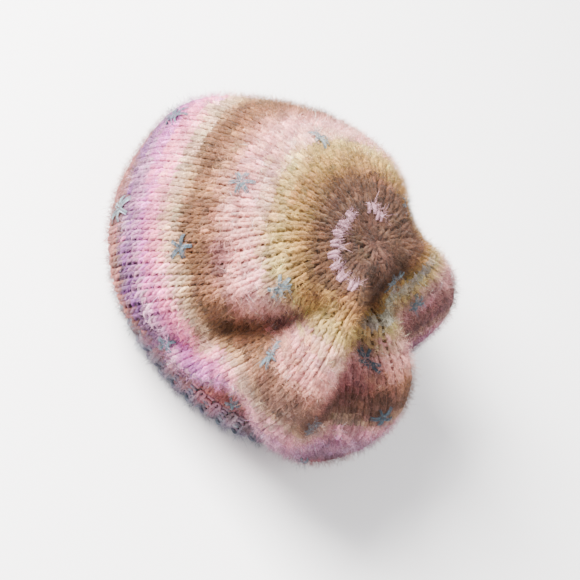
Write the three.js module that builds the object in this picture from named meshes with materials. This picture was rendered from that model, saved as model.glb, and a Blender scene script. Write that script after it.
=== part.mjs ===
// Knitted slouch beret: a soft hollow crown, folded on one side, and the ribbed band it rests on.
// Sizes are in millimetres and angles in degrees, anticlockwise from +X as seen from above.
import * as THREE from "three";

// Crown's gathered centre, before the hat is centred on its footprint
const CENTRE_X = 18;
const CENTRE_Y = 8;
const CENTRE_UP = 140;

// Rim: a head's oval
const RIM_LONG = 102;
const RIM_WIDE = 77;
const RIM_SHIFT = -5;

// Fabric
const WALL = 4;
const SEAM_GAP = 0.3;
const FABRIC_LENGTH = 195;
const DOME_POWER = 2.3;
const SWELL = 8;
const SWELL_ANGLE = 200;

// Ribbed band
const BAND_HEIGHT = 17.7;
const RIBS = 46;
const RIB_RELIEF = 1.1;
const BAND_EDGE_IN = 0.9;
const BAND_EDGE_UP = 2;
const BAND_SWELL = 0.5;
const EDGE_RELIEF = 0.5;

// Plain colours of the wool
const CROWN_COLOUR = 0xb9907f;
const BAND_COLOUR = 0xa5afb9;
const WOOL_ROUGHNESS = 0.95;

// Fineness of the facets
const WALES = 92;
const ROWS = 26;
const FINE_STEPS = 160;
const POINTS_A_RIB = 4;
const EVEN_STEPS = 720;
const EVEN_ROUNDS = [0.4, 0.55, 0.7];

// How the wall's inside is eased round tight folds, and squared up at the seam
const EASING_PASSES = 3;
const SEAM_ROWS = 4;

// One row a section round the hat. The belly is where the fabric reaches furthest out;
// it falls from there, then tucks back in over the waist to the band.
const SECTIONS = [
  { angle: 0, bellyOut: 106, bellyUp: 48, fall: 24, waistOut: 1.06, waistUp: 8 },
  { angle: 12, bellyOut: 98, bellyUp: 55, fall: 28, waistOut: 1.06, waistUp: 10 },
  { angle: 22, bellyOut: 97, bellyUp: 60, fall: 32, waistOut: 1.06, waistUp: 14 },
  { angle: 36, bellyOut: 101, bellyUp: 63, fall: 34, waistOut: 1.08, waistUp: 16 },
  { angle: 55, bellyOut: 86, bellyUp: 64, fall: 34, waistOut: 1.08, waistUp: 16 },
  { angle: 76, bellyOut: 96, bellyUp: 71, fall: 38, waistOut: 1.08, waistUp: 16 },
  { angle: 98, bellyOut: 104, bellyUp: 70, fall: 36, waistOut: 1.08, waistUp: 16 },
  { angle: 120, bellyOut: 111, bellyUp: 66, fall: 34, waistOut: 1.08, waistUp: 16 },
  { angle: 150, bellyOut: 122, bellyUp: 61, fall: 28, waistOut: 1.06, waistUp: 14 },
  { angle: 168, bellyOut: 131, bellyUp: 57, fall: 24, waistOut: 1.05, waistUp: 12 },
  { angle: 184, bellyOut: 124, bellyUp: 52, fall: 22, waistOut: 1.04, waistUp: 12 },
  { angle: 212, bellyOut: 113, bellyUp: 44, fall: 20, waistOut: 1.06, waistUp: 12 },
  { angle: 240, bellyOut: 104, bellyUp: 43, fall: 18, waistOut: 1.04, waistUp: 14 },
  { angle: 260, bellyOut: 98, bellyUp: 55, fall: 19, waistOut: 0.97, waistUp: 20 },
  { angle: 274, bellyOut: 97, bellyUp: 63, fall: 20, waistOut: 0.93, waistUp: 24 },
  { angle: 288, bellyOut: 97, bellyUp: 80, fall: 12, waistOut: 0.84, waistUp: 32 },
  { angle: 302, bellyOut: 103, bellyUp: 62, fall: 7, waistOut: 0.82, waistUp: 28 },
  { angle: 316, bellyOut: 105, bellyUp: 44, fall: 16, waistOut: 0.98, waistUp: 12 },
  { angle: 332, bellyOut: 109, bellyUp: 30, fall: 13, waistOut: 1.04, waistUp: 8 },
  { angle: 347, bellyOut: 111, bellyUp: 37, fall: 17, waistOut: 1.05, waistUp: 8 },
];

// One row a fold. Depth is out of the surface, so a valley's is negative; begin and end are along
// the fabric, 0 at the crown's centre, 1 at the belly and 1.5 at the band; steep is how square its sides are.
const FOLDS = [
  { name: "near crease", angle: 275, lean: -60, halfWidth: 10.5, depth: -29, begin: 0.4, end: 1.02, steep: 2 },
  { name: "near swell", angle: 256, lean: -60, halfWidth: 9, depth: 7, begin: 0.45, end: 1, steep: 2 },
  { name: "near dent", angle: 243, lean: 0, halfWidth: 8, depth: -8, begin: 0.5, end: 0.98, steep: 2 },
  { name: "front ridge", angle: 305, lean: 4, halfWidth: 10, depth: 13, begin: 0.2, end: 1.05, steep: 2 },
  { name: "deep valley", angle: 337, lean: -8, halfWidth: 17, depth: -42, begin: 0.12, end: 0.95, steep: 3 },
  { name: "side ridge", angle: 355, lean: 0, halfWidth: 8, depth: 11, begin: 0.25, end: 1.05, steep: 2 },
  { name: "side valley", angle: 15, lean: 0, halfWidth: 9, depth: -18, begin: 0.15, end: 1.15, steep: 2 },
  { name: "side lobe", angle: 36, lean: 0, halfWidth: 12, depth: 6, begin: 0.2, end: 1.1, steep: 2 },
  { name: "far valley", angle: 76, lean: 0, halfWidth: 11, depth: -9, begin: 0.3, end: 1.2, steep: 2 },
];
const FOLD_RISE = 0.35;
const FOLD_FADE = 0.25;
const FOLD_TAIL = 0.1;
const FOLD_PIVOT = 0.8;
const FOLD_SPREAD = 0.5;
const UNDER_REACH = 0.5;

const radians = THREE.MathUtils.degToRad;
const wrap = (angle) => THREE.MathUtils.euclideanModulo(angle, 360);
const smooth = (low, high, x) => THREE.MathUtils.smoothstep(x, low, high);
const bell = (x, steep) => Math.exp(-0.5 * Math.abs(x) ** steep);
const after = (i, count) => (i + 1) % count;
const before = (i, count) => (i + count - 1) % count;

// A section column's value at any angle, by a smooth closed curve through the rows
function around(column, angle) {
  const count = SECTIONS.length;
  const turned = wrap(angle);
  let i = 0;
  while (i + 1 < count && SECTIONS[i + 1].angle <= turned) i += 1;
  const j = after(i, count);
  const slope = (k) => {
    const last = SECTIONS[before(k, count)];
    const next = SECTIONS[after(k, count)];
    return (next[column] - last[column]) / wrap(next.angle - last.angle);
  };
  const span = wrap(SECTIONS[j].angle - SECTIONS[i].angle);
  const s = (turned - SECTIONS[i].angle) / span;
  const from = SECTIONS[i][column];
  const to = SECTIONS[j][column];
  return (
    (2 * s ** 3 - 3 * s ** 2 + 1) * from +
    (s ** 3 - 2 * s ** 2 + s) * slope(i) * span +
    (3 * s ** 2 - 2 * s ** 3) * to +
    (s ** 3 - s ** 2) * slope(j) * span
  );
}

// Depth of all the folds together at an angle and a reach along the fabric
function foldDepth(angle, reach) {
  let depth = 0;
  for (const fold of FOLDS) {
    const line = fold.angle + fold.lean * (reach - FOLD_PIVOT);
    const off = wrap(angle - line + 180) - 180;
    const width = fold.halfWidth * (1 + FOLD_SPREAD * Math.max(0, 1 - reach) ** 2);
    const rise = smooth(fold.begin, fold.begin + FOLD_RISE, reach);
    const fade = smooth(fold.end - FOLD_FADE, fold.end + FOLD_TAIL, reach);
    depth += fold.depth * bell(off / width, fold.steep) * rise * (1 - fade);
  }
  return depth;
}

// Point of the rim's oval
function rimPoint(angle, up) {
  const a = radians(angle);
  return new THREE.Vector3(RIM_SHIFT + RIM_LONG * Math.cos(a), RIM_WIDE * Math.sin(a), up);
}

// Level direction out of the rim's oval
function rimOutward(angle) {
  const a = radians(angle);
  return new THREE.Vector3(RIM_WIDE * Math.cos(a), RIM_LONG * Math.sin(a), 0).normalize();
}

// One wale of the smooth form, from the crown's centre over the dome and under to the seam
function bareWale(angle) {
  const a = radians(angle);
  const seamUp = BAND_HEIGHT + SEAM_GAP;
  const up = around("bellyUp", angle);
  const belly = new THREE.Vector3(Math.cos(a), Math.sin(a), 0).multiplyScalar(around("bellyOut", angle));
  belly.z = up;
  const swell = SWELL * (0.5 + 0.5 * Math.cos(radians(angle - SWELL_ANGLE)));
  const wale = [];
  for (let k = 0; k < FINE_STEPS; k += 1) {
    const reach = Math.sin(((k / (FINE_STEPS - 1)) * Math.PI) / 2);
    const dome = Math.sqrt(Math.max(0, 1 - reach ** DOME_POWER));
    const point = new THREE.Vector3(
      CENTRE_X + reach * (belly.x - CENTRE_X),
      CENTRE_Y + reach * (belly.y - CENTRE_Y),
      up + (CENTRE_UP - up) * dome + swell * Math.sin(Math.PI * reach) ** 2,
    );
    wale.push({ point, reach });
  }
  const seam = rimPoint(angle, seamUp);
  const waist = seam.clone().multiplyScalar(around("waistOut", angle)).setZ(seamUp + around("waistUp", angle));
  const fallen = belly.clone().setZ(up - around("fall", angle));
  const tuck = new THREE.CubicBezierCurve3(belly, fallen, waist, seam);
  const underSteps = FINE_STEPS / 2;
  for (let k = 1; k <= underSteps; k += 1) {
    const along = k / underSteps;
    wale.push({ point: tuck.getPoint(along), reach: 1 + UNDER_REACH * along });
  }
  return wale;
}

// One wale with the folds pressed into it
function foldedWale(angle) {
  const here = bareWale(angle);
  const left = bareWale(angle - 1);
  const right = bareWale(angle + 1);
  const last = here.length - 1;
  return here.map(({ point, reach }, k) => {
    const along = here[Math.min(k + 1, last)].point.clone().sub(here[Math.max(k - 1, 0)].point);
    const across = right[k].point.clone().sub(left[k].point);
    const out = k === 0 ? new THREE.Vector3(0, 0, 1) : along.cross(across).normalize();
    return out.multiplyScalar(foldDepth(angle, reach)).add(point);
  });
}

// Points of a wale at its knitted rounds: even from the centre, eased or drawn up near the band
function roundsOf(wale, count, shift) {
  const lengths = [0];
  for (let k = 1; k < wale.length; k += 1) lengths.push(lengths[k - 1] + wale[k].distanceTo(wale[k - 1]));
  const whole = lengths[lengths.length - 1];
  const rounds = [];
  let k = 0;
  for (let row = 0; row < count; row += 1) {
    const t = (row + shift) / (ROWS - 1);
    const target = Math.min(whole, FABRIC_LENGTH * t + (whole - FABRIC_LENGTH) * t ** 3);
    while (k < wale.length - 2 && lengths[k + 1] < target) k += 1;
    const part = (target - lengths[k]) / (lengths[k + 1] - lengths[k]);
    rounds.push(wale[k].clone().lerp(wale[k + 1], part));
  }
  return rounds;
}

// Angles that cut closed curves into even lengths; the curves are lists of EVEN_STEPS points
function evenAngles(curves, count) {
  const run = [0];
  for (let i = 0; i < EVEN_STEPS; i += 1) {
    const step = curves.reduce((sum, curve) => sum + curve[i].distanceTo(curve[after(i, EVEN_STEPS)]), 0);
    run.push(run[i] + step);
  }
  const angles = [];
  let i = 0;
  for (let n = 0; n < count; n += 1) {
    const target = (run[EVEN_STEPS] * n) / count;
    while (run[i + 1] < target) i += 1;
    const part = (target - run[i]) / (run[i + 1] - run[i]);
    angles.push(((i + part) * 360) / EVEN_STEPS);
  }
  return angles;
}

// Grid of the crown's outside, WALES lists of ROWS points, and the middles of its meshes
function crownOutside() {
  const fine = [];
  for (let i = 0; i < EVEN_STEPS; i += 1) fine.push(roundsOf(foldedWale((i * 360) / EVEN_STEPS), ROWS, 0));
  const curves = EVEN_ROUNDS.map((part) => fine.map((wale) => wale[Math.round(part * ROWS)]));
  const angles = evenAngles(curves, WALES);
  const grid = angles.map((angle) => roundsOf(foldedWale(angle), ROWS, 0));
  const middles = angles.map((angle, i) => {
    const halfway = angle + 0.5 * wrap(angles[after(i, WALES)] - angle);
    return roundsOf(foldedWale(halfway), ROWS - 1, 0.5);
  });
  return { angles, grid, middles };
}

// Directions out of the grid, eased so the inside of a tight fold does not turn over
function outwardOf(grid, angles) {
  let outward = grid.map((wale, i) =>
    wale.map((point, k) => {
      const across = grid[after(i, WALES)][k].clone().sub(grid[before(i, WALES)][k]);
      const along = wale[Math.min(k + 1, ROWS - 1)].clone().sub(wale[Math.max(k - 1, 0)]);
      return along.cross(across).normalize();
    }),
  );
  const top = outward.reduce((sum, wale) => sum.add(wale[1]), new THREE.Vector3()).normalize();
  outward.forEach((wale) => wale[0].copy(top));
  const blend = (list, i, k, last, next) =>
    list[i][k].clone().multiplyScalar(2).add(last).add(next).divideScalar(4);
  for (let pass = 0; pass < EASING_PASSES; pass += 1) {
    const level = outward.map((wale, i) =>
      wale.map((d, k) => blend(outward, i, k, outward[before(i, WALES)][k], outward[after(i, WALES)][k])),
    );
    outward = level.map((wale, i) =>
      wale.map((d, k) => (k === 0 || k === ROWS - 1 ? d : blend(level, i, k, wale[k - 1], wale[k + 1]))),
    );
  }
  return outward.map((wale, i) =>
    wale.map((d, k) => d.lerp(rimOutward(angles[i]), smooth(ROWS - 1 - SEAM_ROWS, ROWS - 1, k))),
  );
}

// Whether a mesh of the grid lies closer to the fabric when it is split from its near to its far corner
function splitsForward(grid, middles, i, k) {
  const j = after(i, WALES);
  const forward = grid[i][k].clone().lerp(grid[j][k + 1], 0.5);
  const backward = grid[j][k].clone().lerp(grid[i][k + 1], 0.5);
  return forward.distanceTo(middles[i][k]) < backward.distanceTo(middles[i][k]);
}

// Mesh from points and triples of their indices
function solid(name, points, faces, color) {
  const geometry = new THREE.BufferGeometry().setFromPoints(points);
  geometry.setIndex(faces);
  geometry.computeVertexNormals();
  const material = new THREE.MeshStandardMaterial({ color, roughness: WOOL_ROUGHNESS, metalness: 0 });
  const mesh = new THREE.Mesh(geometry, material);
  mesh.name = name;
  return mesh;
}

// Hollow crown: outside and inside closed over the centre and joined by a flat ring at the seam
function buildCrown() {
  const { angles, grid, middles } = crownOutside();
  const outward = outwardOf(grid, angles);
  const inside = grid.map((wale, i) => wale.map((point, k) => point.clone().addScaledVector(outward[i][k], -WALL)));
  const points = [];
  const faces = [];
  const rings = ROWS - 1;
  const layers = [grid, inside].map((layer) => {
    const centre = points.length;
    points.push(layer[0][0]);
    layer.forEach((wale) => points.push(...wale.slice(1)));
    return (i, k) => (k === 0 ? centre : centre + 1 + (i % WALES) * rings + (k - 1));
  });
  const [outer, inner] = layers;
  for (let i = 0; i < WALES; i += 1) {
    faces.push(outer(i, 0), outer(i, 1), outer(i + 1, 1));
    faces.push(inner(i, 0), inner(i + 1, 1), inner(i, 1));
    for (let k = 1; k < rings; k += 1) {
      if (splitsForward(grid, middles, i, k)) {
        faces.push(outer(i, k), outer(i, k + 1), outer(i + 1, k + 1));
        faces.push(outer(i, k), outer(i + 1, k + 1), outer(i + 1, k));
        faces.push(inner(i, k), inner(i + 1, k + 1), inner(i, k + 1));
        faces.push(inner(i, k), inner(i + 1, k), inner(i + 1, k + 1));
      } else {
        faces.push(outer(i, k), outer(i, k + 1), outer(i + 1, k));
        faces.push(outer(i, k + 1), outer(i + 1, k + 1), outer(i + 1, k));
        faces.push(inner(i, k), inner(i + 1, k), inner(i, k + 1));
        faces.push(inner(i, k + 1), inner(i + 1, k), inner(i + 1, k + 1));
      }
    }
    faces.push(outer(i, rings), inner(i, rings), inner(i + 1, rings));
    faces.push(outer(i, rings), inner(i + 1, rings), outer(i + 1, rings));
  }
  return solid("crown", points, faces, CROWN_COLOUR);
}

// Ribbed band: an oval ring with ribs inside and out and a flat foot
function buildBand() {
  const oval = [];
  for (let i = 0; i < EVEN_STEPS; i += 1) oval.push(rimPoint((i * 360) / EVEN_STEPS, 0));
  const columns = RIBS * POINTS_A_RIB;
  const angles = evenAngles([oval], columns);
  const profile = [
    { out: -BAND_EDGE_IN, up: 0, relief: EDGE_RELIEF },
    { out: BAND_SWELL, up: BAND_EDGE_UP, relief: 1 },
    { out: 0, up: BAND_HEIGHT, relief: EDGE_RELIEF },
    { out: -WALL, up: BAND_HEIGHT, relief: EDGE_RELIEF },
    { out: -WALL, up: BAND_EDGE_UP, relief: 1 },
    { out: BAND_EDGE_IN - WALL, up: 0, relief: EDGE_RELIEF },
  ];
  const points = [];
  const faces = [];
  angles.forEach((angle, i) => {
    const wave = RIB_RELIEF * Math.cos(((i + 0.5) / POINTS_A_RIB) * 2 * Math.PI);
    profile.forEach(({ out, up, relief }) => {
      points.push(rimPoint(angle, up).addScaledVector(rimOutward(angle), out + relief * wave));
    });
    const here = i * profile.length;
    const next = after(i, columns) * profile.length;
    for (let j = 0; j < profile.length; j += 1) {
      const over = after(j, profile.length);
      faces.push(here + j, next + j, next + over);
      faces.push(here + j, next + over, here + over);
    }
  });
  return solid("rib_band", points, faces, BAND_COLOUR);
}

const hat = new THREE.Group();
hat.name = "slouch_beret";
hat.add(buildCrown(), buildBand());

// Centre the hat over the middle of its footprint
const middle = new THREE.Box3().setFromObject(hat).getCenter(new THREE.Vector3());
hat.children.forEach((mesh) => mesh.geometry.translate(-middle.x, -middle.y, 0));

export default hat;
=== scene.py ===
import math

import bpy
import numpy as np
from mathutils import Matrix


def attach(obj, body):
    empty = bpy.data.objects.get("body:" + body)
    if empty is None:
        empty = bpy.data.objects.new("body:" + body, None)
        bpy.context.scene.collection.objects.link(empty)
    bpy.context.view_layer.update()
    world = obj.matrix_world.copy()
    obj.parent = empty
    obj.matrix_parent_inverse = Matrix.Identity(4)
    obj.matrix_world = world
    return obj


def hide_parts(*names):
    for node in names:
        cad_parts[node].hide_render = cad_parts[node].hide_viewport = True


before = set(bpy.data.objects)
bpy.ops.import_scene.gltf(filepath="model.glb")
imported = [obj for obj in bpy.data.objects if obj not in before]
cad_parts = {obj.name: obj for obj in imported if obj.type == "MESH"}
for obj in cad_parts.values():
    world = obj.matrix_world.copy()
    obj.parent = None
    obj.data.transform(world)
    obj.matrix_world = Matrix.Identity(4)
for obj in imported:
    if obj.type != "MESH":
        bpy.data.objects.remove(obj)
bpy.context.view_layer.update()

# Knitted slouch beret: yarn-level knit, embroidered stars, ribbed band and loose wool fibres

# Hat's form, in millimetres and degrees, as in the part's source
CENTRE = (18.0, 8.0, 140.0)
RIM_LONG = 102.0
RIM_WIDE = 77.0
RIM_SHIFT = -5.0
SEAM_UP = 18.0
FABRIC_LENGTH = 195.0
DOME_POWER = 2.3
SWELL = 8.0
SWELL_ANGLE = 200.0
HAT_SHIFT = np.array([9.135, -3.714, 0.0])
MM = 0.001

# One row a section: angle, belly_out, belly_up, fall, waist_out, waist_up
SECTIONS = np.array([
    (0, 106, 48, 24, 1.06, 8),
    (12, 98, 55, 28, 1.06, 10),
    (22, 97, 60, 32, 1.06, 14),
    (36, 101, 63, 34, 1.08, 16),
    (55, 86, 64, 34, 1.08, 16),
    (76, 96, 71, 38, 1.08, 16),
    (98, 104, 70, 36, 1.08, 16),
    (120, 111, 66, 34, 1.08, 16),
    (150, 122, 61, 28, 1.06, 14),
    (168, 131, 57, 24, 1.05, 12),
    (184, 124, 52, 22, 1.04, 12),
    (212, 113, 44, 20, 1.06, 12),
    (240, 104, 43, 18, 1.04, 14),
    (260, 98, 55, 19, 0.97, 20),
    (274, 97, 63, 20, 0.93, 24),
    (288, 97, 80, 12, 0.84, 32),
    (302, 103, 62, 7, 0.82, 28),
    (316, 105, 44, 16, 0.98, 12),
    (332, 109, 30, 13, 1.04, 8),
    (347, 111, 37, 17, 1.05, 8),
], float)
ANGLE, BELLY_OUT, BELLY_UP, FALL, WAIST_OUT, WAIST_UP = range(6)

# One row a fold: angle, lean, half_width, depth, begin, end, steepness of its sides
FOLDS = [
    (275, -60, 10.5, -29, 0.40, 1.02, 2.0),
    (256, -60, 9, 7, 0.45, 1.00, 2.0),
    (243, 0, 8, -8, 0.50, 0.98, 2.0),
    (305, 4, 10, 13, 0.20, 1.05, 2.0),
    (337, -8, 17, -42, 0.12, 0.95, 3.0),
    (355, 0, 8, 11, 0.25, 1.05, 2.0),
    (15, 0, 9, -18, 0.15, 1.15, 2.0),
    (36, 0, 12, 6, 0.20, 1.10, 2.0),
    (76, 0, 11, -9, 0.30, 1.20, 2.0),
]
# Pinches of the knit along the folds, too narrow for the solids, in the folds' columns
PINCHES = [
    (275, -60, 4, -10, 0.45, 1.08, 2.0),
    (321, -8, 5, -11, 0.25, 0.95, 2.0),
    (7, 0, 5, -7, 0.30, 1.05, 2.0),
]
FOLD_RISE = 0.35
FOLD_FADE = 0.25
FOLD_TAIL = 0.1
FOLD_PIVOT = 0.8
FOLD_SPREAD = 0.5
UNDER_REACH = 0.5

# Where the knit is drawn out or bunched up: angle, half_width, stretch
STRETCHES = [
    (286, 18, 0.13),
    (262, 9, 0.06),
    (200, 28, -0.06),
    (32, 18, -0.38),
    (350, 12, 0.14),
    (318, 12, 0.08),
]

# Fineness of the form that the stitches are laid on
FORM_ANGLES = 720
FORM_ROWS = 240
FINE_STEPS = 160
EVEN_ROUNDS = (0.4, 0.55, 0.7)
NORMAL_EASING = 2
FEWEST_KNOTS = 4

# Knit: sizes of a stitch, in millimetres or shares of its width and height
COURSE = 4.3
ROUNDS = 44
SECTORS = 8
SECTOR_START = 0.055
WIDEST_SECTOR = 15
SECTOR_GROWTH = 0.563
LOOP_HEIGHT = 0.92
LOOP_BULGE = 0.175
BULGE_WANDER = 0.08
LEG_DRAW = 0.08
LOOP_DEPTH = 1.0
YARN_RADIUS = 1.3
RADIUS_WANDER = 0.10
RIB_RADIUS_WANDER = 0.05
YARN_LEVEL = -1.9
STEPS_A_STITCH = 10
YARN_SIDES = 6
JITTER = 0.2
JITTER_RUN = 6
FIRST_ALONG = 0.4
LEG_TURN = -0.3
STRIPS_A_ROUND = 4
STRIP_MARGIN = 0.05
GROUND_LEVELS = (-2.3, -2.9)
GROUND_INSET = 1.5
GROUND_WALES = 160
GROUND_ROWS = 60
# Share of the stripes' colour left on the ground: painted shade seen in the gaps between the stitches
GROUND_PAINTED_SHADE = 0.35
GROUND_FACES_TOP = 0.97
GROUND_EDGE_MAP = (0.98, 0.98, 0.99, 0.99)

# Places where the slouch pulls the columns aside: angle, half width in degrees,
# where it begins and ends along the fabric, and millimetres sideways
LEANS = [
    (238, 32, 85, 180, -26),
    (278, 20, 20, 85, 9),
    (355, 18, 40, 120, -10),
]

# Crown's knit is split into pieces of these rounds
CROWN_PIECES = [("crown_top_knit", 1, 24), ("crown_belly_knit", 25, 34), ("crown_tuck_knit", 35, 44)]

# Ribbed band
RIB_STITCHES = 92
RIB_COURSES = (15.6, 11.6, 7.6, 3.9)
RIB_RELIEF = 0.9
RIB_LEVEL = -2.0
RIB_LOOP_HEIGHT = 3.4
RIB_SQUARENESS = 1.6
RIB_LEG_FACING = 0.5
FLOOR_CLEARANCE = 0.15
CAST_ON_UP = 1.5
CAST_ON_RADIUS = 1.35
CAST_ON_SWAY = 0.12
CAST_ON_LOOP = 0.9
CAST_ON_WOBBLE = 0.5

# Yarn's colours along the fabric: millimetres from the crown's centre, then red, green and blue out of 255
STRIPES = [
    (0, 82, 59, 50),
    (33, 84, 61, 50),
    (44, 97, 70, 54),
    (51, 139, 106, 73),
    (59, 174, 144, 96),
    (69, 188, 161, 117),
    (76, 206, 168, 150),
    (80, 226, 172, 168),
    (92, 218, 160, 155),
    (98, 178, 130, 117),
    (103, 152, 110, 92),
    (108, 114, 81, 62),
    (119, 100, 71, 54),
    (122.5, 160, 126, 100),
    (126, 180, 152, 128),
    (131, 194, 156, 142),
    (134, 230, 162, 168),
    (141, 228, 140, 168),
    (144.5, 180, 112, 158),
    (148.5, 168, 108, 152),
    (152, 176, 142, 158),
    (156, 146, 106, 132),
    (158, 112, 70, 116),
    (162, 108, 76, 104),
    (165, 108, 80, 80),
    (169, 138, 88, 82),
    (186, 158, 100, 98),
    (196, 162, 118, 126),
    (204, 154, 144, 158),
    (216, 146, 155, 168),
]
# Places round the hat where the yarn's colour changes, and one patch of painted shade in the near dent:
# angle, half_span, along, half_width, share, then red, green and blue out of 255
WASHES_AND_DENT_SHADE = [
    (10, 26, 60, 2.4, 0.80, 186, 190, 190),
    (213, 24, 54, 6, 0.45, 138, 106, 74),
    # Dark purple-brown patch at the near dent: painted shade of the dent, laid into the yarn's colour
    (240, 8, 101, 4, 0.65, 108, 72, 78),
    (32, 24, 88, 9, 0.50, 166, 122, 130),
    (32, 24, 112, 11, 0.65, 134, 102, 108),
    (32, 26, 146, 13, 0.75, 168, 132, 146),
    (325, 34, 112, 10, 0.50, 108, 84, 80),
    (300, 15, 90, 10, 0.50, 190, 138, 128),
    (328, 12, 95, 9, 0.45, 150, 96, 116),
    (322, 34, 149, 13, 0.75, 176, 144, 156),
]
WASH_STEEPNESS = 6.0

# Unevenness of the yarn's colour: how far, and over how many stitches or steps
STRIPE_DRIFT = 2.2
DRIFT_STITCHES = 5
FLECK_DRIFT = 0.6
HEATHER = 0.32
HEATHER_RUN = 8
FINE_HEATHER = 0.6
FINE_HEATHER_RUN = 3
TINT = 0.05
TINT_RUN = 12
WOOL_DEPTH = 0.67
WOOL_RICHNESS = 1.25
DARKEST = 0.003
PALEST_FIBRE = 0.9

# Embroidered stars: angle, millimetres from the crown's centre, arm length, arms, turn
STARS = [
    (205, 91, 8.5, 6, 20),
    (230, 121, 7.5, 5, 60),
    (264, 66, 7.5, 6, 0),
    (286, 104, 7.5, 6, 35),
    (258, 154, 7.5, 5, 10),
    (155, 72, 7.5, 6, 50),
    (316, 114, 8.5, 6, 15),
    (344, 82, 8.0, 7, 5),
    (16, 44, 7.0, 6, 25),
    (21, 84, 7.0, 6, 40),
    (347, 119, 7.5, 5, 20),
    (288, 146, 6.5, 5, 45),
    (293, 185, 6.5, 5, 0),
    (177, 150, 7.5, 6, 30),
    (208, 164, 7.0, 6, 10),
    (82, 52, 7.0, 6, 55),
    (52, 96, 7.5, 6, 15),
    (100, 104, 7.5, 6, 0),
    (128, 118, 7.5, 5, 35),
    (70, 142, 7.0, 6, 20),
    (112, 160, 7.0, 6, 50),
    (146, 164, 7.0, 5, 5),
    (36, 160, 7.0, 6, 40),
    (325, 168, 6.5, 5, 25),
]
STAR_COLOURS = [(110, 125, 134), (86, 101, 112), (128, 141, 148)]
STAR_YARN = 0.46
STAR_STRANDS = 3
STAR_SPREAD = 0.75
STAR_LIFT = 1.3
STAR_ROOT = 1.2
STAR_HOLE = 0.4
STAR_TURN_WANDER = 7.0
STAR_ARM_WANDER = 0.12
STAR_BESIDE_WANDER = 0.25
STAR_TONES = 0.25
STAR_MOTTLE = 0.14
STAR_RADIUS_WANDER = 0.1
STAR_FIBRE_ROOTS = slice(4, 5)

# Arch of a straight stitch out of the fabric
STITCH_STEPS = 9
ARCH_START = 0.08
ARCH_SPAN = 0.84
ARCH_POWER = 0.6

# Ring of pale stitches beside the crown's centre: angle, millimetres from the centre, width, height
RING = [
    (114, 18, 4.0, 6.0),
    (131, 22, 6.5, 6.5),
    (185, 23, 4.5, 6.0),
    (211, 25, 4.5, 6.0),
    (230, 28, 4.5, 6.0),
    (246, 30, 4.5, 6.0),
    (259, 32, 4.5, 6.0),
    (271, 33, 4.5, 6.0),
    (283, 35, 4.5, 6.0),
    (293, 37, 4.5, 6.0),
]
RING_YARN = 1.1
RING_COLOUR = (196, 156, 168)
RING_FOOT = 0.2
RING_HEAD = 0.4
RING_LIFT = 0.5
RING_ROOT = 1.6
RING_MOTTLE = 0.1
RING_FIBRE_ROOTS = slice(2, 7, 2)

# Loose fibres: pieces of them with their counts, and sizes in millimetres
TOP_FIBRES = 80000
SIDE_FIBRES = 72000
BAND_FIBRES = 18000
FIBRE_TONES = 0.5
TOP_REACH = 112.0
FIBRE_LENGTH = 4.3
LONGEST_FIBRE = 7.5
FIBRE_WIDTH = 0.13
FIBRE_RISE = 0.8
FIBRE_RISE_SPREAD = 0.5
FIBRE_LENGTH_SPREAD = 0.35
FIBRE_SEAT = 0.75
FIBRE_SCATTER = 0.5
FIBRE_CURL = 0.45
FIBRE_TWIST = 0.5
FIBRE_LOWEST = 0.05
FIBRE_CELL = np.array([(0.5, 0.05), (0.1, 0.5), (0.9, 0.5), (0.5, 0.95)])

# Wool's surface: twist of its plies, and streaks along and round the yarn
TWIST_LENGTH = 3.2
PLIES = 2
PLY_RELIEF = 0.22
STREAK_SCALE = (0.8, 7.0, 1.0)
WOOL_SHEEN = 0.1
STAR_SHEEN = 0.15

# Camera: seen from the near side and above, with the frame turned as the photo's is
CAMERA_TARGET = (5.0, -2.0, 60.0)
CAMERA_ELEVATION = 52.0
CAMERA_ROLL = 42.0
CAMERA_DISTANCE = 1000.0
CAMERA_LENS = 99.3
SENSOR_WIDTH = 36.0

# Floor's half width, in metres
FLOOR_HALF = 4.0

rng = np.random.default_rng(11)


# Form

def smooth(low, high, x):
    """A soft step from 0 to 1."""
    t = np.clip((x - low) / (high - low), 0, 1)
    return t * t * (3 - 2 * t)


def bell(x, steepness):
    """A hump of 1 at 0, with sides as steep as asked."""
    return np.exp(-0.5 * np.abs(x) ** steepness)


def around(column, angles):
    """A section column's value at any angle, by a smooth closed curve through the rows."""
    rows = SECTIONS[:, ANGLE]
    values = SECTIONS[:, column]
    turned = np.mod(angles, 360)
    i = np.searchsorted(rows, turned, side="right") - 1
    j = np.mod(i + 1, len(rows))
    spans = np.mod(np.roll(rows, -1) - np.roll(rows, 1), 360)
    slopes = (np.roll(values, -1) - np.roll(values, 1)) / spans
    span = np.mod(rows[j] - rows[i], 360)
    s = (turned - rows[i]) / span
    return ((2 * s**3 - 3 * s**2 + 1) * values[i] + (s**3 - 2 * s**2 + s) * slopes[i] * span
            + (3 * s**2 - 2 * s**3) * values[j] + (s**3 - s**2) * slopes[j] * span)


def fold_depth(angles, reach):
    """Depth of all the folds together."""
    depth = np.zeros_like(reach)
    for angle, lean, half_width, deep, begin, end, steepness in FOLDS + PINCHES:
        line = angle + lean * (reach - FOLD_PIVOT)
        off = np.mod(angles - line + 180, 360) - 180
        width = half_width * (1 + FOLD_SPREAD * np.clip(1 - reach, 0, 1) ** 2)
        rise = smooth(begin, begin + FOLD_RISE, reach)
        fade = smooth(end - FOLD_FADE, end + FOLD_TAIL, reach)
        depth += deep * bell(off / width, steepness) * rise * (1 - fade)
    return depth


def normals_of(grid):
    """Directions out of a closed grid of wales and rows."""
    across = np.roll(grid, -1, 0) - np.roll(grid, 1, 0)
    along = np.gradient(grid, axis=1)
    out = np.cross(along, across)
    out[:, 0] = (0, 0, 1)
    return out / np.linalg.norm(out, axis=-1, keepdims=True)


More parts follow.
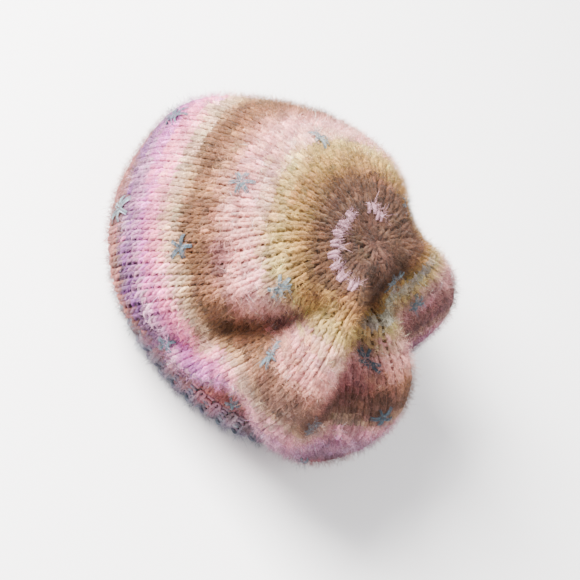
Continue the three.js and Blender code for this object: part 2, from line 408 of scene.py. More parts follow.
def bare_form(angles):
    """Points and reach of the smooth form, a wale for each angle."""
    a = np.radians(angles)[:, None]
    up = around(BELLY_UP, angles)[:, None]
    belly_x = around(BELLY_OUT, angles)[:, None] * np.cos(a)
    belly_y = around(BELLY_OUT, angles)[:, None] * np.sin(a)
    over = np.sin(np.linspace(0, 1, FINE_STEPS) * np.pi / 2)[None, :]
    dome = np.sqrt(np.clip(1 - over**DOME_POWER, 0, 1))
    swell = SWELL * (0.5 + 0.5 * np.cos(a - np.radians(SWELL_ANGLE)))
    top = np.stack([
        CENTRE[0] + over * (belly_x - CENTRE[0]),
        CENTRE[1] + over * (belly_y - CENTRE[1]),
        up + (CENTRE[2] - up) * dome + swell * np.sin(np.pi * over) ** 2,
    ], -1)
    level = np.full_like(up, SEAM_UP)
    rim_x = RIM_SHIFT + RIM_LONG * np.cos(a)
    rim_y = RIM_WIDE * np.sin(a)
    waist_out = around(WAIST_OUT, angles)[:, None]
    belly = np.stack([belly_x, belly_y, up], -1)
    fallen = np.stack([belly_x, belly_y, up - around(FALL, angles)[:, None]], -1)
    waist = np.stack([rim_x * waist_out, rim_y * waist_out, level + around(WAIST_UP, angles)[:, None]], -1)
    seam = np.stack([rim_x, rim_y, level], -1)
    q = (np.arange(1, FINE_STEPS // 2 + 1) / (FINE_STEPS // 2))[None, :, None]
    under = (1 - q)**3 * belly + 3 * (1 - q)**2 * q * fallen + 3 * (1 - q) * q**2 * waist + q**3 * seam
    reach = np.concatenate([over[0], 1 + UNDER_REACH * q[0, :, 0]])
    return np.concatenate([top, under], 1), np.broadcast_to(reach, (len(angles), len(reach)))


def knit_form():
    """Grid of the folded form: FORM_ANGLES wales of FORM_ROWS points along the fabric."""
    angles = np.arange(FORM_ANGLES) * 360.0 / FORM_ANGLES
    points, reach = bare_form(angles)
    points = points + normals_of(points) * fold_depth(angles[:, None], reach)[..., None]
    steps = np.linalg.norm(np.diff(points, axis=1), axis=-1)
    run = np.concatenate([np.zeros((FORM_ANGLES, 1)), np.cumsum(steps, 1)], 1)
    t = np.linspace(0, 1, FORM_ROWS)
    grid = np.empty((FORM_ANGLES, FORM_ROWS, 3))
    taut = np.full(FORM_ANGLES, FABRIC_LENGTH)
    for angle, half_width, stretch in STRETCHES:
        off = np.mod(angles - angle + 180, 360) - 180
        taut += FABRIC_LENGTH * stretch * bell(off / half_width, 2)
    for i in range(FORM_ANGLES):
        target = taut[i] * t + (run[i, -1] - taut[i]) * t**3
        for k in range(3):
            grid[i, :, k] = np.interp(target, run[i], points[i, :, k])
    return grid + HAT_SHIFT


def eased(field):
    """A closed grid of directions, averaged with its neighbours."""
    level = (np.roll(field, 1, 0) + np.roll(field, -1, 0) + 2 * field) / 4
    level[:, 1:-1] = (level[:, :-2] + level[:, 2:] + 2 * level[:, 1:-1]) / 4
    return level


FORM = knit_form()
FORM_OUT = normals_of(FORM)
for easing in range(NORMAL_EASING):
    FORM_OUT = eased(FORM_OUT)
FORM_OUT /= np.linalg.norm(FORM_OUT, axis=-1, keepdims=True)

ring_steps = np.linalg.norm(np.roll(FORM, -1, 0) - FORM, axis=-1)
RING_LENGTHS = ring_steps.sum(0)
even_steps = sum(ring_steps[:, int(part * FORM_ROWS)] for part in EVEN_ROUNDS)
EVEN_RUN = np.concatenate([[0], np.cumsum(even_steps)]) / even_steps.sum()
EVEN_PLACE = np.arange(FORM_ANGLES + 1.0)


def share_at(angle):
    """Share of the way round the fabric at an angle in degrees."""
    return np.interp(np.mod(angle, 360) / 360 * FORM_ANGLES, EVEN_PLACE, EVEN_RUN)


def angle_at(share):
    """Angle in degrees at a share of the way round the fabric."""
    return np.interp(np.mod(share, 1), EVEN_RUN, EVEN_PLACE) * 360 / FORM_ANGLES


def ring_length(along):
    """Length round the hat, along millimetres from the crown's centre."""
    return np.interp(along / FABRIC_LENGTH, np.linspace(0, 1, FORM_ROWS), RING_LENGTHS)


def on_form(share, along, out):
    """Points and outward directions at a share of the way round, along the fabric and out of it."""
    place = np.interp(np.mod(share, 1), EVEN_RUN, EVEN_PLACE)
    i = np.floor(place).astype(int)
    f = (place - i)[..., None]
    row = np.clip(along / FABRIC_LENGTH, 0, 1) * (FORM_ROWS - 1)
    k = np.minimum(np.floor(row).astype(int), FORM_ROWS - 2)
    g = (row - k)[..., None]
    a = np.mod(i, FORM_ANGLES)
    b = np.mod(i + 1, FORM_ANGLES)
    found = []
    for field in (FORM, FORM_OUT):
        near = field[a, k] * (1 - f) + field[b, k] * f
        far = field[a, k + 1] * (1 - f) + field[b, k + 1] * f
        found.append(near * (1 - g) + far * g)
    return found[0] + found[1] * out[..., None], found[1]


# Colours

def linear(colour):
    """Scene colour of sRGB values out of 255, deepened because bright light pales the wool."""
    c = np.asarray(colour, float) / 255
    light = np.where(c <= 0.04045, c / 12.92, ((c + 0.055) / 1.055) ** 2.4)
    grey = light.mean(-1, keepdims=True)
    return np.clip(WOOL_DEPTH * (grey + WOOL_RICHNESS * (light - grey)), DARKEST, 1)


STRIPE_AT = np.array([row[0] for row in STRIPES], float)
STRIPE_COLOURS = linear([row[1:] for row in STRIPES])


def wander(count, length):
    """A smooth random line of count values that repeats, with a new value each length steps."""
    knots = max(FEWEST_KNOTS, count // length)
    values = rng.normal(0, 1, knots)
    place = np.arange(count) * knots / count
    i = np.floor(place).astype(int)
    f = place - i
    f = f * f * (3 - 2 * f)
    return values[i % knots] * (1 - f) + values[(i + 1) % knots] * f


def striped(along):
    """Colours of the stripes at millimetres along the fabric."""
    return np.stack([np.interp(along, STRIPE_AT, STRIPE_COLOURS[:, k]) for k in range(3)], -1)


def washed_and_dent_shaded(colour, along, angles):
    """A round's colours, with the places where the yarn changes and the painted shade in the near dent."""
    for angle, half_span, middle, half_width, share, *wash in WASHES_AND_DENT_SHADE:
        off = np.mod(angles - angle + 180, 360) - 180
        mix = share * bell((along - middle) / half_width, 2) * bell(off / half_span, WASH_STEEPNESS)
        colour = colour + mix[:, None] * (linear(wash) - colour)
    return colour


def yarn_colour(along, angles=None):
    """Heathered colour of one round's yarn, at millimetres along the fabric."""
    count = len(along)
    flecks = FLECK_DRIFT * wander(count, STEPS_A_STITCH) ** 3
    drifted = along + STRIPE_DRIFT * wander(count, DRIFT_STITCHES * STEPS_A_STITCH) + flecks
    colour = striped(drifted)
    if angles is not None:
        colour = washed_and_dent_shaded(colour, along, angles)
    coarse = HEATHER * wander(count, HEATHER_RUN)
    fine = FINE_HEATHER * HEATHER * wander(count, FINE_HEATHER_RUN)
    value = np.exp(coarse + fine)
    tint = 1 + TINT * np.stack([wander(count, TINT_RUN) for channel in range(3)], -1)
    return np.clip(colour * value[:, None] * tint, DARKEST, 1)


# Mesh tools

def new_piece(name, verts, faces, colours, material, node, strand=None, bake=None):
    """A mesh piece in the row frame, from millimetres, riding on the hat."""
    mesh = bpy.data.meshes.new(name)
    sides = faces.shape[1]
    mesh.vertices.add(len(verts))
    mesh.vertices.foreach_set("co", np.ascontiguousarray(verts * MM, np.float32).ravel())
    mesh.loops.add(faces.size)
    mesh.loops.foreach_set("vertex_index", np.ascontiguousarray(faces, np.int32).ravel())
    mesh.polygons.add(len(faces))
    mesh.polygons.foreach_set("loop_start", np.arange(0, faces.size, sides, dtype=np.int32))
    mesh.polygons.foreach_set("use_smooth", np.ones(len(faces), bool))
    mesh.update(calc_edges=True)
    wool = mesh.color_attributes.new("wool", "FLOAT_COLOR", "POINT")
    rgba = np.ones((len(verts), 4), np.float32)
    rgba[:, :3] = colours
    wool.data.foreach_set("color", rgba.ravel())
    for layer_name, values in (("OFBake", bake), ("strand", strand)):
        if values is not None:
            layer = mesh.uv_layers.new(name=layer_name, do_init=False)
            layer.uv.foreach_set("vector", np.ascontiguousarray(values, np.float32).ravel())
    mesh.materials.append(material)
    mesh.validate()
    piece = bpy.data.objects.new(name, mesh)
    bpy.context.scene.collection.objects.link(piece)
    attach(piece, "root")
    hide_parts(node)
    return piece


def tube_rings(line, out, radius, closed, sides):
    """Rings of points round a yarn's line."""
    if closed:
        tangent = np.roll(line, -1, 0) - np.roll(line, 1, 0)
    else:
        tangent = np.gradient(line, axis=0)
    tangent /= np.linalg.norm(tangent, axis=-1, keepdims=True)
    side = np.cross(tangent, out)
    side /= np.linalg.norm(side, axis=-1, keepdims=True)
    up = np.cross(side, tangent)
    turn = np.pi + np.arange(sides) * 2 * np.pi / sides
    ring = np.cos(turn)[None, :, None] * up[:, None, :] + np.sin(turn)[None, :, None] * side[:, None, :]
    return line[:, None, :] + np.reshape(radius, (-1, 1, 1)) * ring


def run_of(line):
    """Length along a line to each of its points."""
    return np.concatenate([[0], np.cumsum(np.linalg.norm(np.diff(line, axis=0), axis=-1))])


class YarnMesh:
    """Tubes gathered into one mesh, with colours and maps."""

    def __init__(self, strips_a_round):
        self.verts = []
        self.faces = []
        self.colours = []
        self.strand = []
        self.strips = []
        self.count = 0
        self.strips_a_round = strips_a_round

    def add(self, line, out, radius, colour, closed):
        sides = YARN_SIDES
        count = len(line)
        rings = tube_rings(line, out, np.broadcast_to(radius, count), closed, sides)
        spans = count if closed else count - 1
        i, s = np.meshgrid(np.arange(spans), np.arange(sides), indexing="ij")
        after = (i + 1) % count
        turned = (s + 1) % sides
        quad = np.stack([i * sides + s, i * sides + turned, after * sides + turned, after * sides + s], -1)
        run = run_of(line)
        step = np.append(run, run[-1] + np.linalg.norm(line[0] - line[-1]))
        strand = np.stack([
            np.stack([step[i], s / sides], -1),
            np.stack([step[i], (s + 1) / sides], -1),
            np.stack([step[i + 1], (s + 1) / sides], -1),
            np.stack([step[i + 1], s / sides], -1),
        ], 2)
        strip_spans = spans / self.strips_a_round
        part = np.floor(i / strip_spans)
        first = len(self.strips) * self.strips_a_round
        begin = (i - part * strip_spans) / strip_spans
        end = (i + 1 - part * strip_spans) / strip_spans
        near = first + part + STRIP_MARGIN + (1 - 2 * STRIP_MARGIN) * s / sides
        far = first + part + STRIP_MARGIN + (1 - 2 * STRIP_MARGIN) * (s + 1) / sides
        bake = np.stack([
            np.stack([begin, near], -1),
            np.stack([begin, far], -1),
            np.stack([end, far], -1),
            np.stack([end, near], -1),
        ], 2)
        self.verts.append(rings.reshape(-1, 3))
        self.faces.append(quad.reshape(-1, 4) + self.count)
        self.colours.append(np.repeat(np.broadcast_to(colour, (count, 3)), sides, 0))
        self.strand.append(strand.reshape(-1, 2))
        self.strips.append(bake.reshape(-1, 2))
        self.count += count * sides

    def build(self, name, material, node):
        bake = np.concatenate(self.strips)
        bake[:, 1] /= len(self.strips) * self.strips_a_round
        return new_piece(name, np.concatenate(self.verts), np.concatenate(self.faces),
                         np.concatenate(self.colours), material, node,
                         np.concatenate(self.strand), bake)


# Materials

def wool_material(name, sheen):
    """Soft wool: the yarn's own colour, mottled by its fibres, with a twist and a fine nap."""
    material = bpy.data.materials.new(name)
    material.use_nodes = True
    nodes = material.node_tree.nodes
    links = material.node_tree.links
    shader = nodes["Principled BSDF"]
    shader.inputs["Roughness"].default_value = 0.95
    shader.inputs["Specular IOR Level"].default_value = 0.15
    shader.inputs["Sheen Weight"].default_value = sheen
    shader.inputs["Sheen Roughness"].default_value = 0.55
    shader.inputs["Sheen Tint"].default_value = (1.0, 0.95, 0.92, 1.0)
    wool = nodes.new("ShaderNodeAttribute")
    wool.attribute_name = "wool"
    place = nodes.new("ShaderNodeTexCoord")
    fibres = nodes.new("ShaderNodeTexNoise")
    fibres.inputs["Scale"].default_value = 1500.0
    fibres.inputs["Detail"].default_value = 3.0
    fibres.inputs["Roughness"].default_value = 0.7
    links.new(place.outputs["Object"], fibres.inputs["Vector"])
    shade = nodes.new("ShaderNodeMapRange")
    shade.inputs["From Min"].default_value = 0.3
    shade.inputs["From Max"].default_value = 0.7
    shade.inputs["To Min"].default_value = 0.4
    shade.inputs["To Max"].default_value = 1.45
    strand = nodes.new("ShaderNodeUVMap")
    strand.uv_map = "strand"
    drawn = nodes.new("ShaderNodeVectorMath")
    drawn.operation = "MULTIPLY"
    drawn.inputs[1].default_value = STREAK_SCALE
    links.new(strand.outputs["UV"], drawn.inputs[0])
    streaks = nodes.new("ShaderNodeTexNoise")
    streaks.inputs["Scale"].default_value = 1.0
    streaks.inputs["Detail"].default_value = 4.0
    streaks.inputs["Roughness"].default_value = 0.7
    links.new(drawn.outputs["Vector"], streaks.inputs["Vector"])
    links.new(streaks.outputs["Fac"], shade.inputs["Value"])
    colour = nodes.new("ShaderNodeVectorMath")
    colour.operation = "SCALE"
    links.new(wool.outputs["Color"], colour.inputs[0])
    links.new(shade.outputs["Result"], colour.inputs["Scale"])
    links.new(colour.outputs["Vector"], shader.inputs["Base Color"])
    twist = nodes.new("ShaderNodeVectorMath")
    twist.operation = "DOT_PRODUCT"
    twist.inputs[1].default_value = (2 * math.pi / TWIST_LENGTH, 2 * math.pi * PLIES, 0.0)
    links.new(strand.outputs["UV"], twist.inputs[0])
    plies = nodes.new("ShaderNodeMath")
    plies.operation = "SINE"
    links.new(twist.outputs["Value"], plies.inputs[0])
    nap = nodes.new("ShaderNodeMath")
    nap.operation = "MULTIPLY_ADD"
    nap.inputs[1].default_value = PLY_RELIEF
    links.new(plies.outputs["Value"], nap.inputs[0])
    links.new(fibres.outputs["Fac"], nap.inputs[2])
    bump = nodes.new("ShaderNodeBump")
    bump.inputs["Strength"].default_value = 0.7
    bump.inputs["Distance"].default_value = 0.0006
    links.new(nap.outputs["Value"], bump.inputs["Height"])
    links.new(bump.outputs["Normal"], shader.inputs["Normal"])
    return material


def fibre_material():
    """Loose fibres: soft and a little mottled."""
    material = bpy.data.materials.new("loose_wool")
    material.use_nodes = True
    nodes = material.node_tree.nodes
    links = material.node_tree.links
    shader = nodes["Principled BSDF"]
    shader.inputs["Roughness"].default_value = 0.9
    shader.inputs["Specular IOR Level"].default_value = 0.2
    shader.inputs["Sheen Weight"].default_value = 0.1
    wool = nodes.new("ShaderNodeAttribute")
    wool.attribute_name = "wool"
    place = nodes.new("ShaderNodeTexCoord")
    mottle = nodes.new("ShaderNodeTexNoise")
    mottle.inputs["Scale"].default_value = 600.0
    links.new(place.outputs["Object"], mottle.inputs["Vector"])
    shade = nodes.new("ShaderNodeMapRange")
    shade.inputs["To Min"].default_value = 0.8
    shade.inputs["To Max"].default_value = 1.2
    links.new(mottle.outputs["Fac"], shade.inputs["Value"])
    colour = nodes.new("ShaderNodeVectorMath")
    colour.operation = "SCALE"
    links.new(wool.outputs["Color"], colour.inputs[0])
    links.new(shade.outputs["Result"], colour.inputs["Scale"])
    links.new(colour.outputs["Vector"], shader.inputs["Base Color"])
    return material


WOOL = wool_material("striped_wool", WOOL_SHEEN)
STAR_WOOL = wool_material("star_wool", STAR_SHEEN)
LOOSE_WOOL = fibre_material()


# Crown's knit

def column_lean(share, along):
    """Share of the way round by which the slouch pulls the columns aside."""
    angle = angle_at(share)
    aside = np.zeros_like(share)
    for middle, half_width, begin, end, sideways in LEANS:
        off = np.mod(angle - middle + 180, 360) - 180
        aside += sideways * bell(off / half_width, 2) * smooth(begin, end, along)
    return aside / ring_length(along)


def sector_stitches(round_number):
    """Stitches in one sector of a round: odd, so that the middle column runs on."""
    wanted = SECTOR_GROWTH * round_number
    return int(min(WIDEST_SECTOR, 2 * math.floor(wanted / 2) + 1))


def stitch_values(stitches, amount):
    """A random value a stitch, carried over its steps."""
    return np.repeat(rng.normal(0, amount, stitches), STEPS_A_STITCH)


top_roots = []
side_roots = []
band_roots = []


def crown_round(round_number):
    """One round's yarn: line, outward directions and colours."""
    stitches = SECTORS * sector_stitches(round_number)
    count = stitches * STEPS_A_STITCH
    along_round = COURSE * round_number
    stitch = np.repeat(np.arange(stitches), STEPS_A_STITCH)
    t = np.tile((np.arange(STEPS_A_STITCH) / STEPS_A_STITCH) * 2 - 1, stitches) * np.pi
    middle = (stitch + 0.5) / stitches
    bulge = LOOP_BULGE * (1 + stitch_values(stitches, BULGE_WANDER))
    loop = t / (2 * np.pi) + bulge * np.sin(2 * t) - LEG_DRAW * np.sin(t)
    share = SECTOR_START + middle + loop / stitches
    share += column_lean(share, along_round)
    wave = COURSE * LOOP_HEIGHT * np.cos(t)
    drift = JITTER * wander(count, STEPS_A_STITCH)
    along = np.clip(along_round - wave + drift, FIRST_ALONG, FABRIC_LENGTH)
    level = YARN_LEVEL - LOOP_DEPTH * np.cos(2 * t) + JITTER * wander(count, JITTER_RUN)
    line, out = on_form(share, along, level)
    colour = yarn_colour(along_round + COURSE * (middle - 0.5), angle_at(share))
    legs = np.cos(2 * t) < LEG_TURN
    roots = top_roots if along_round < TOP_REACH else side_roots
    roots.append((line[legs], out[legs], colour[legs]))
    return line, out, colour


for piece_name, first_round, last_round in CROWN_PIECES:
    yarn = YarnMesh(STRIPS_A_ROUND)
    for round_number in range(first_round, last_round + 1):
        line, out, colour = crown_round(round_number)
        radius = YARN_RADIUS * (1 + RADIUS_WANDER * wander(len(line), JITTER_RUN))
        yarn.add(line, out, radius, colour, True)
    yarn.build(piece_name, WOOL, "crown")


# Fabric's ground, which closes the gaps between the yarns and is darkened as painted shade between the
# stitches

def ground():
    """A dark double layer behind the loops, closed at both edges; its darkness is painted shade between
    the stitches.
    """
    share = np.arange(GROUND_WALES) / GROUND_WALES
    along = np.linspace(GROUND_INSET, FABRIC_LENGTH - GROUND_INSET, GROUND_ROWS)
    layers = []
    for level in GROUND_LEVELS:
        points, out = on_form(share[:, None] + 0 * along, along + 0 * share[:, None],
                              np.full((GROUND_WALES, GROUND_ROWS), level))
        layers.append(points.reshape(-1, 3))
    i, k = np.meshgrid(np.arange(GROUND_WALES), np.arange(GROUND_ROWS - 1), indexing="ij")
    j = (i + 1) % GROUND_WALES
    size = GROUND_WALES * GROUND_ROWS
    outer = np.stack([i * GROUND_ROWS + k, i * GROUND_ROWS + k + 1,
                      j * GROUND_ROWS + k + 1, j * GROUND_ROWS + k], -1).reshape(-1, 4)
    inner = outer[:, ::-1] + size
    corners = np.stack([np.stack([i, k], -1), np.stack([i, k + 1], -1),
                        np.stack([i + 1, k + 1], -1), np.stack([i + 1, k], -1)], 2).reshape(-1, 4, 2)
    outer_map = corners * (0.5 / GROUND_WALES, GROUND_FACES_TOP / (GROUND_ROWS - 1))
    inner_map = outer_map[:, ::-1] + (0.5, 0)
    i = np.arange(GROUND_WALES)
    j = (i + 1) % GROUND_WALES
    low = GROUND_ROWS - 1
    top_edge = np.stack([i * GROUND_ROWS, j * GROUND_ROWS,
                         j * GROUND_ROWS + size, i * GROUND_ROWS + size], -1)
    low_edge = np.stack([i * GROUND_ROWS + low + size, j * GROUND_ROWS + low + size,
                         j * GROUND_ROWS + low, i * GROUND_ROWS + low], -1)
    faces = np.concatenate([outer, inner, top_edge, low_edge])
    edge_u = np.stack([i, i + 1, i + 1, i], -1) * 0.5 / GROUND_WALES
    edge_v = np.broadcast_to(GROUND_EDGE_MAP, edge_u.shape)
    top_map = np.stack([edge_u, edge_v], -1)
    bake = np.concatenate([outer_map, inner_map, top_map, top_map + (0.5, 0)]).reshape(-1, 2)
    # Stripes' colours darkened: painted shade seen through the gaps between the stitches
    colour = GROUND_PAINTED_SHADE * striped(along)
    colours = np.tile(colour, (2 * GROUND_WALES, 1))
    verts = np.concatenate(layers)
    place = np.stack([np.repeat(share, GROUND_ROWS) * ROUNDS, np.tile(along, GROUND_WALES)], -1)
    strand = np.concatenate([place, place])[faces].reshape(-1, 2)
    return new_piece("crown_ground", verts, faces, colours, WOOL, "crown", strand, bake)


ground()


# Ribbed band

def on_rim(share, up, out):
    """Points of the band's oval, and directions out of it."""
    angles = np.interp(np.mod(share, 1), RIM_RUN, RIM_PLACE)
    outward = np.stack([RIM_WIDE * np.cos(angles), RIM_LONG * np.sin(angles), 0 * angles], -1)
    outward /= np.linalg.norm(outward, axis=-1, keepdims=True)
    oval = np.stack([RIM_SHIFT + RIM_LONG * np.cos(angles), RIM_WIDE * np.sin(angles), up], -1)
    return oval + HAT_SHIFT + outward * out[..., None], outward


RIM_PLACE = np.linspace(0, 2 * np.pi, FORM_ANGLES + 1)
rim_steps = np.hypot(RIM_LONG * np.diff(np.cos(RIM_PLACE)), RIM_WIDE * np.diff(np.sin(RIM_PLACE)))
RIM_RUN = np.concatenate([[0], np.cumsum(rim_steps)]) / rim_steps.sum()


def rib_round(up_round):
    """One round of the rib: knit columns stand out, purl columns lie back."""
    count = RIB_STITCHES * STEPS_A_STITCH
    stitch = np.repeat(np.arange(RIB_STITCHES), STEPS_A_STITCH)
    t = np.tile((np.arange(STEPS_A_STITCH) / STEPS_A_STITCH) * 2 - 1, RIB_STITCHES) * np.pi
    middle = (stitch + 0.5) / RIB_STITCHES
    share = middle + (t / (2 * np.pi) + LOOP_BULGE * np.sin(2 * t)) / RIB_STITCHES
    column = np.cos(np.pi * (share * RIB_STITCHES - 0.5))
    facing = np.clip(RIB_SQUARENESS * column, -1, 1)
    up = up_round + RIB_LOOP_HEIGHT * np.cos(t) + JITTER * wander(count, STEPS_A_STITCH)
    up = np.maximum(up, YARN_RADIUS + FLOOR_CLEARANCE)
    level = RIB_LEVEL + RIB_RELIEF * facing - LOOP_DEPTH * np.cos(2 * t) * facing
    line, out = on_rim(share, up, level)
    colour = yarn_colour(FABRIC_LENGTH + SEAM_UP - up_round + COURSE * (middle - 0.5))
    legs = (np.cos(2 * t) < LEG_TURN) & (facing > RIB_LEG_FACING)
    band_roots.append((line[legs], out[legs], colour[legs]))
    return line, out, colour


def cast_on():
    """The cast-on edge: a yarn wound along the foot of the rib."""
    count = RIB_STITCHES * STEPS_A_STITCH
    share = np.arange(count) / count
    t = share * RIB_STITCHES * 2 * np.pi
    up = CAST_ON_UP + CAST_ON_SWAY * np.sin(t)
    level = RIB_LEVEL + CAST_ON_LOOP * np.cos(t) + CAST_ON_WOBBLE * np.cos(t / 2)
    line, out = on_rim(share, up, level)
    return line, out, yarn_colour(FABRIC_LENGTH + SEAM_UP + 0 * share)


yarn = YarnMesh(STRIPS_A_ROUND)
for up_round in RIB_COURSES:
    line, out, colour = rib_round(up_round)
    radius = YARN_RADIUS * (1 + RIB_RADIUS_WANDER * wander(len(line), JITTER_RUN))
    yarn.add(line, out, radius, colour, True)
line, out, colour = cast_on()
yarn.add(line, out, CAST_ON_RADIUS, colour, True)
yarn.build("rib_band_knit", WOOL, "rib_band")


# Embroidery

def stitch_line(share, along, start, end, lift, root):
    """A straight stitch between two places in millimetres beside a point of the fabric."""
    s = np.linspace(0, 1, STITCH_STEPS)
    beside = start[0] + (end[0] - start[0]) * s
    down = along + start[1] + (end[1] - start[1]) * s
    out = (lift + root) * np.sin(np.pi * (ARCH_START + ARCH_SPAN * s)) ** ARCH_POWER - root
    return on_form(share + beside / ring_length(along), down, out)


def place_along(way, ahead, beside):
    """A place ahead and beside, seen along a way in radians."""
    return (ahead * math.cos(way) - beside * math.sin(way), ahead * math.sin(way) + beside * math.cos(way))


yarn = YarnMesh(1)
for number, (angle, along, arm, arms, turn) in enumerate(STARS):
    share = share_at(angle)
    base = linear(STAR_COLOURS[number % len(STAR_COLOURS)])
    for k in range(arms):
        way = math.radians(turn + 360 * k / arms + rng.normal(0, STAR_TURN_WANDER))
        long = arm * (1 + rng.normal(0, STAR_ARM_WANDER))
        for strand in range(STAR_STRANDS):
            beside = STAR_SPREAD * (strand - 0.5 * (STAR_STRANDS - 1)) + rng.normal(0, STAR_BESIDE_WANDER)
            root = place_along(way, STAR_HOLE, beside)
            tip = place_along(way, long, beside)
            line, out = stitch_line(share, along, root, tip, STAR_LIFT, STAR_ROOT)
            tone = rng.lognormal(0, STAR_TONES)
            mottle = 1 + STAR_MOTTLE * rng.normal(0, 1, (STITCH_STEPS, 1))
            colour = np.clip(base * tone * mottle, 0, 1)
            yarn.add(line, out, STAR_YARN * (1 + rng.normal(0, STAR_RADIUS_WANDER)), colour, False)
            if strand == 0:
                top_roots.append((line[STAR_FIBRE_ROOTS], out[STAR_FIBRE_ROOTS], colour[STAR_FIBRE_ROOTS]))
yarn.build("embroidered_stars", STAR_WOOL, "crown")

yarn = YarnMesh(1)
for angle, along, width, height in RING:
    share = share_at(angle)
    for side in (-1, 1):
        foot = (side * RING_FOOT * width, 0.5 * height)
        head = (side * RING_HEAD * width, -0.5 * height)
        line, out = stitch_line(share, along, foot, head, RING_LIFT, RING_ROOT)
        mottle = 1 + RING_MOTTLE * rng.normal(0, 1, (STITCH_STEPS, 1))
        colour = np.clip(linear(RING_COLOUR) * mottle, 0, 1)
        yarn.add(line, out, RING_YARN, colour, False)
        top_roots.append((line[RING_FIBRE_ROOTS], out[RING_FIBRE_ROOTS], colour[RING_FIBRE_ROOTS]))
yarn.build("crown_ring_stitches", STAR_WOOL, "crown")


# Loose fibres

def loose_fibres(name, roots, count, node):
    """Thin bent fibres that stand a little off the yarns, each a narrow diamond."""
    lines = np.concatenate([r[0] for r in roots])
    outs = np.concatenate([r[1] for r in roots])
    colours = np.concatenate([r[2] for r in roots])
    pick = rng.integers(0, len(lines), count)
    out = outs[pick]
    base = lines[pick] + out * YARN_RADIUS * FIBRE_SEAT + rng.normal(0, FIBRE_SCATTER, (count, 3))
    flat = rng.normal(0, 1, (count, 3))
    flat -= out * np.sum(flat * out, -1, keepdims=True)
    flat /= np.linalg.norm(flat, axis=-1, keepdims=True)
    way = flat + out * FIBRE_RISE * rng.lognormal(0, FIBRE_RISE_SPREAD, (count, 1))
    way /= np.linalg.norm(way, axis=-1, keepdims=True)
    long = np.minimum(FIBRE_LENGTH * rng.lognormal(0, FIBRE_LENGTH_SPREAD, (count, 1)), LONGEST_FIBRE)
    mid = base + way * long * 0.5
    tip = mid + (way + rng.normal(0, FIBRE_CURL, (count, 3))) * long * 0.5
    side = np.cross(way, out + FIBRE_TWIST * rng.normal(0, 1, (count, 3)))
    side /= np.linalg.norm(side, axis=-1, keepdims=True)
    half = 0.5 * FIBRE_WIDTH * side
    verts = np.stack([base, mid - half, mid + half, tip], 1)
    verts[..., 2] = np.maximum(verts[..., 2], FIBRE_LOWEST)
    corners = len(FIBRE_CELL)
    first = np.arange(count)[:, None] * corners
    faces = np.concatenate([first + [0, 2, 1], first + [1, 2, 3]])
    cells = math.ceil(math.sqrt(count))
    cell = np.stack([np.arange(count) % cells, np.arange(count) // cells], -1)
    bake = ((cell[:, None] + FIBRE_CELL) / cells).reshape(-1, 2)[faces].reshape(-1, 2)
    tone = np.clip(colours[pick] * rng.lognormal(0, FIBRE_TONES, (count, 1)), DARKEST, PALEST_FIBRE)
    return new_piece(name, verts.reshape(-1, 3), faces, np.repeat(tone, corners, 0), LOOSE_WOOL, node,
                     bake=bake)


loose_fibres("crown_top_fuzz", top_roots, TOP_FIBRES, "crown")
loose_fibres("crown_side_fuzz", side_roots, SIDE_FIBRES, "crown")
loose_fibres("rib_band_fuzz", band_roots, BAND_FIBRES, "rib_band")


# Floor, light and camera

def plain_floor():
    """A pale floor under the hat."""
    mesh = bpy.data.meshes.new("floor")
    corners = [(FLOOR_HALF * x, FLOOR_HALF * y, 0) for x, y in ((-1, -1), (1, -1), (1, 1), (-1, 1))]
    mesh.from_pydata(corners, [], [(0, 1, 2, 3)])
    floor = bpy.data.objects.new("floor", mesh)
    bpy.context.scene.collection.objects.link(floor)
    material = bpy.data.materials.new("pale_floor")
    material.use_nodes = True
    shader = material.node_tree.nodes["Principled BSDF"]
    shader.inputs["Base Color"].default_value = (0.93, 0.92, 0.92, 1.0)
    shader.inputs["Roughness"].default_value = 0.9
    shader.inputs["Specular IOR Level"].default_value = 0.1
    mesh.materials.append(material)


plain_floor()

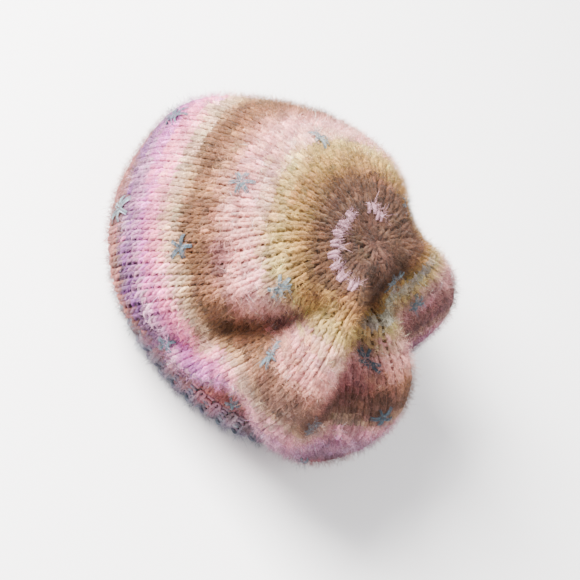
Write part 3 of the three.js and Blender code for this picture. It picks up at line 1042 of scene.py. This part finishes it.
elevation = math.radians(CAMERA_ELEVATION)
roll = math.radians(CAMERA_ROLL)
LEVEL = np.array([1.0, 0.0, 0.0])
RISE = np.array([0.0, math.sin(elevation), math.cos(elevation)])
BACK = np.array([0.0, -math.cos(elevation), math.sin(elevation)])
IMAGE_RIGHT = math.sin(roll) * LEVEL + math.cos(roll) * RISE
IMAGE_UP = -math.cos(roll) * LEVEL + math.sin(roll) * RISE
TARGET = np.array(CAMERA_TARGET) + HAT_SHIFT


def placed(axes, place):
    """Matrix of right, up and back axes at a place in millimetres."""
    matrix = np.eye(4)
    matrix[:3, 0], matrix[:3, 1], matrix[:3, 2] = axes
    matrix[:3, 3] = np.asarray(place) * MM
    return Matrix(matrix.tolist())


camera = bpy.data.objects.new("camera", bpy.data.cameras.new("camera"))
camera.data.lens = CAMERA_LENS
camera.data.sensor_width = SENSOR_WIDTH
camera.matrix_world = placed((IMAGE_RIGHT, IMAGE_UP, BACK), TARGET + CAMERA_DISTANCE * BACK)
bpy.context.scene.collection.objects.link(camera)
bpy.context.scene.camera = camera


def soft_light(name, way, distance, size, power, colour):
    """A square soft light that faces the hat."""
    back = np.asarray(way, float)
    back /= np.linalg.norm(back)
    right = np.cross((0.0, 0.0, 1.0), back)
    right /= np.linalg.norm(right)
    up = np.cross(back, right)
    data = bpy.data.lights.new(name, "AREA")
    data.shape = "SQUARE"
    data.size = size
    data.energy = power
    data.color = colour
    light = bpy.data.objects.new(name, data)
    light.matrix_world = placed((right, up, back), TARGET + back * distance)
    bpy.context.scene.collection.objects.link(light)


soft_light("window", way=(-0.77, -0.13, 0.63), distance=1500.0, size=0.8, power=200.0,
           colour=(1.0, 0.98, 0.96))
soft_light("fill", way=(0.48, -0.22, 0.85), distance=1500.0, size=1.2, power=16.0,
           colour=(1.0, 0.98, 0.97))

world = bpy.data.worlds.new("studio")
world.use_nodes = True
sky = world.node_tree.nodes["Background"]
sky.inputs["Color"].default_value = (0.95, 0.96, 1.0, 1.0)
sky.inputs["Strength"].default_value = 0.9
bpy.context.scene.world = world
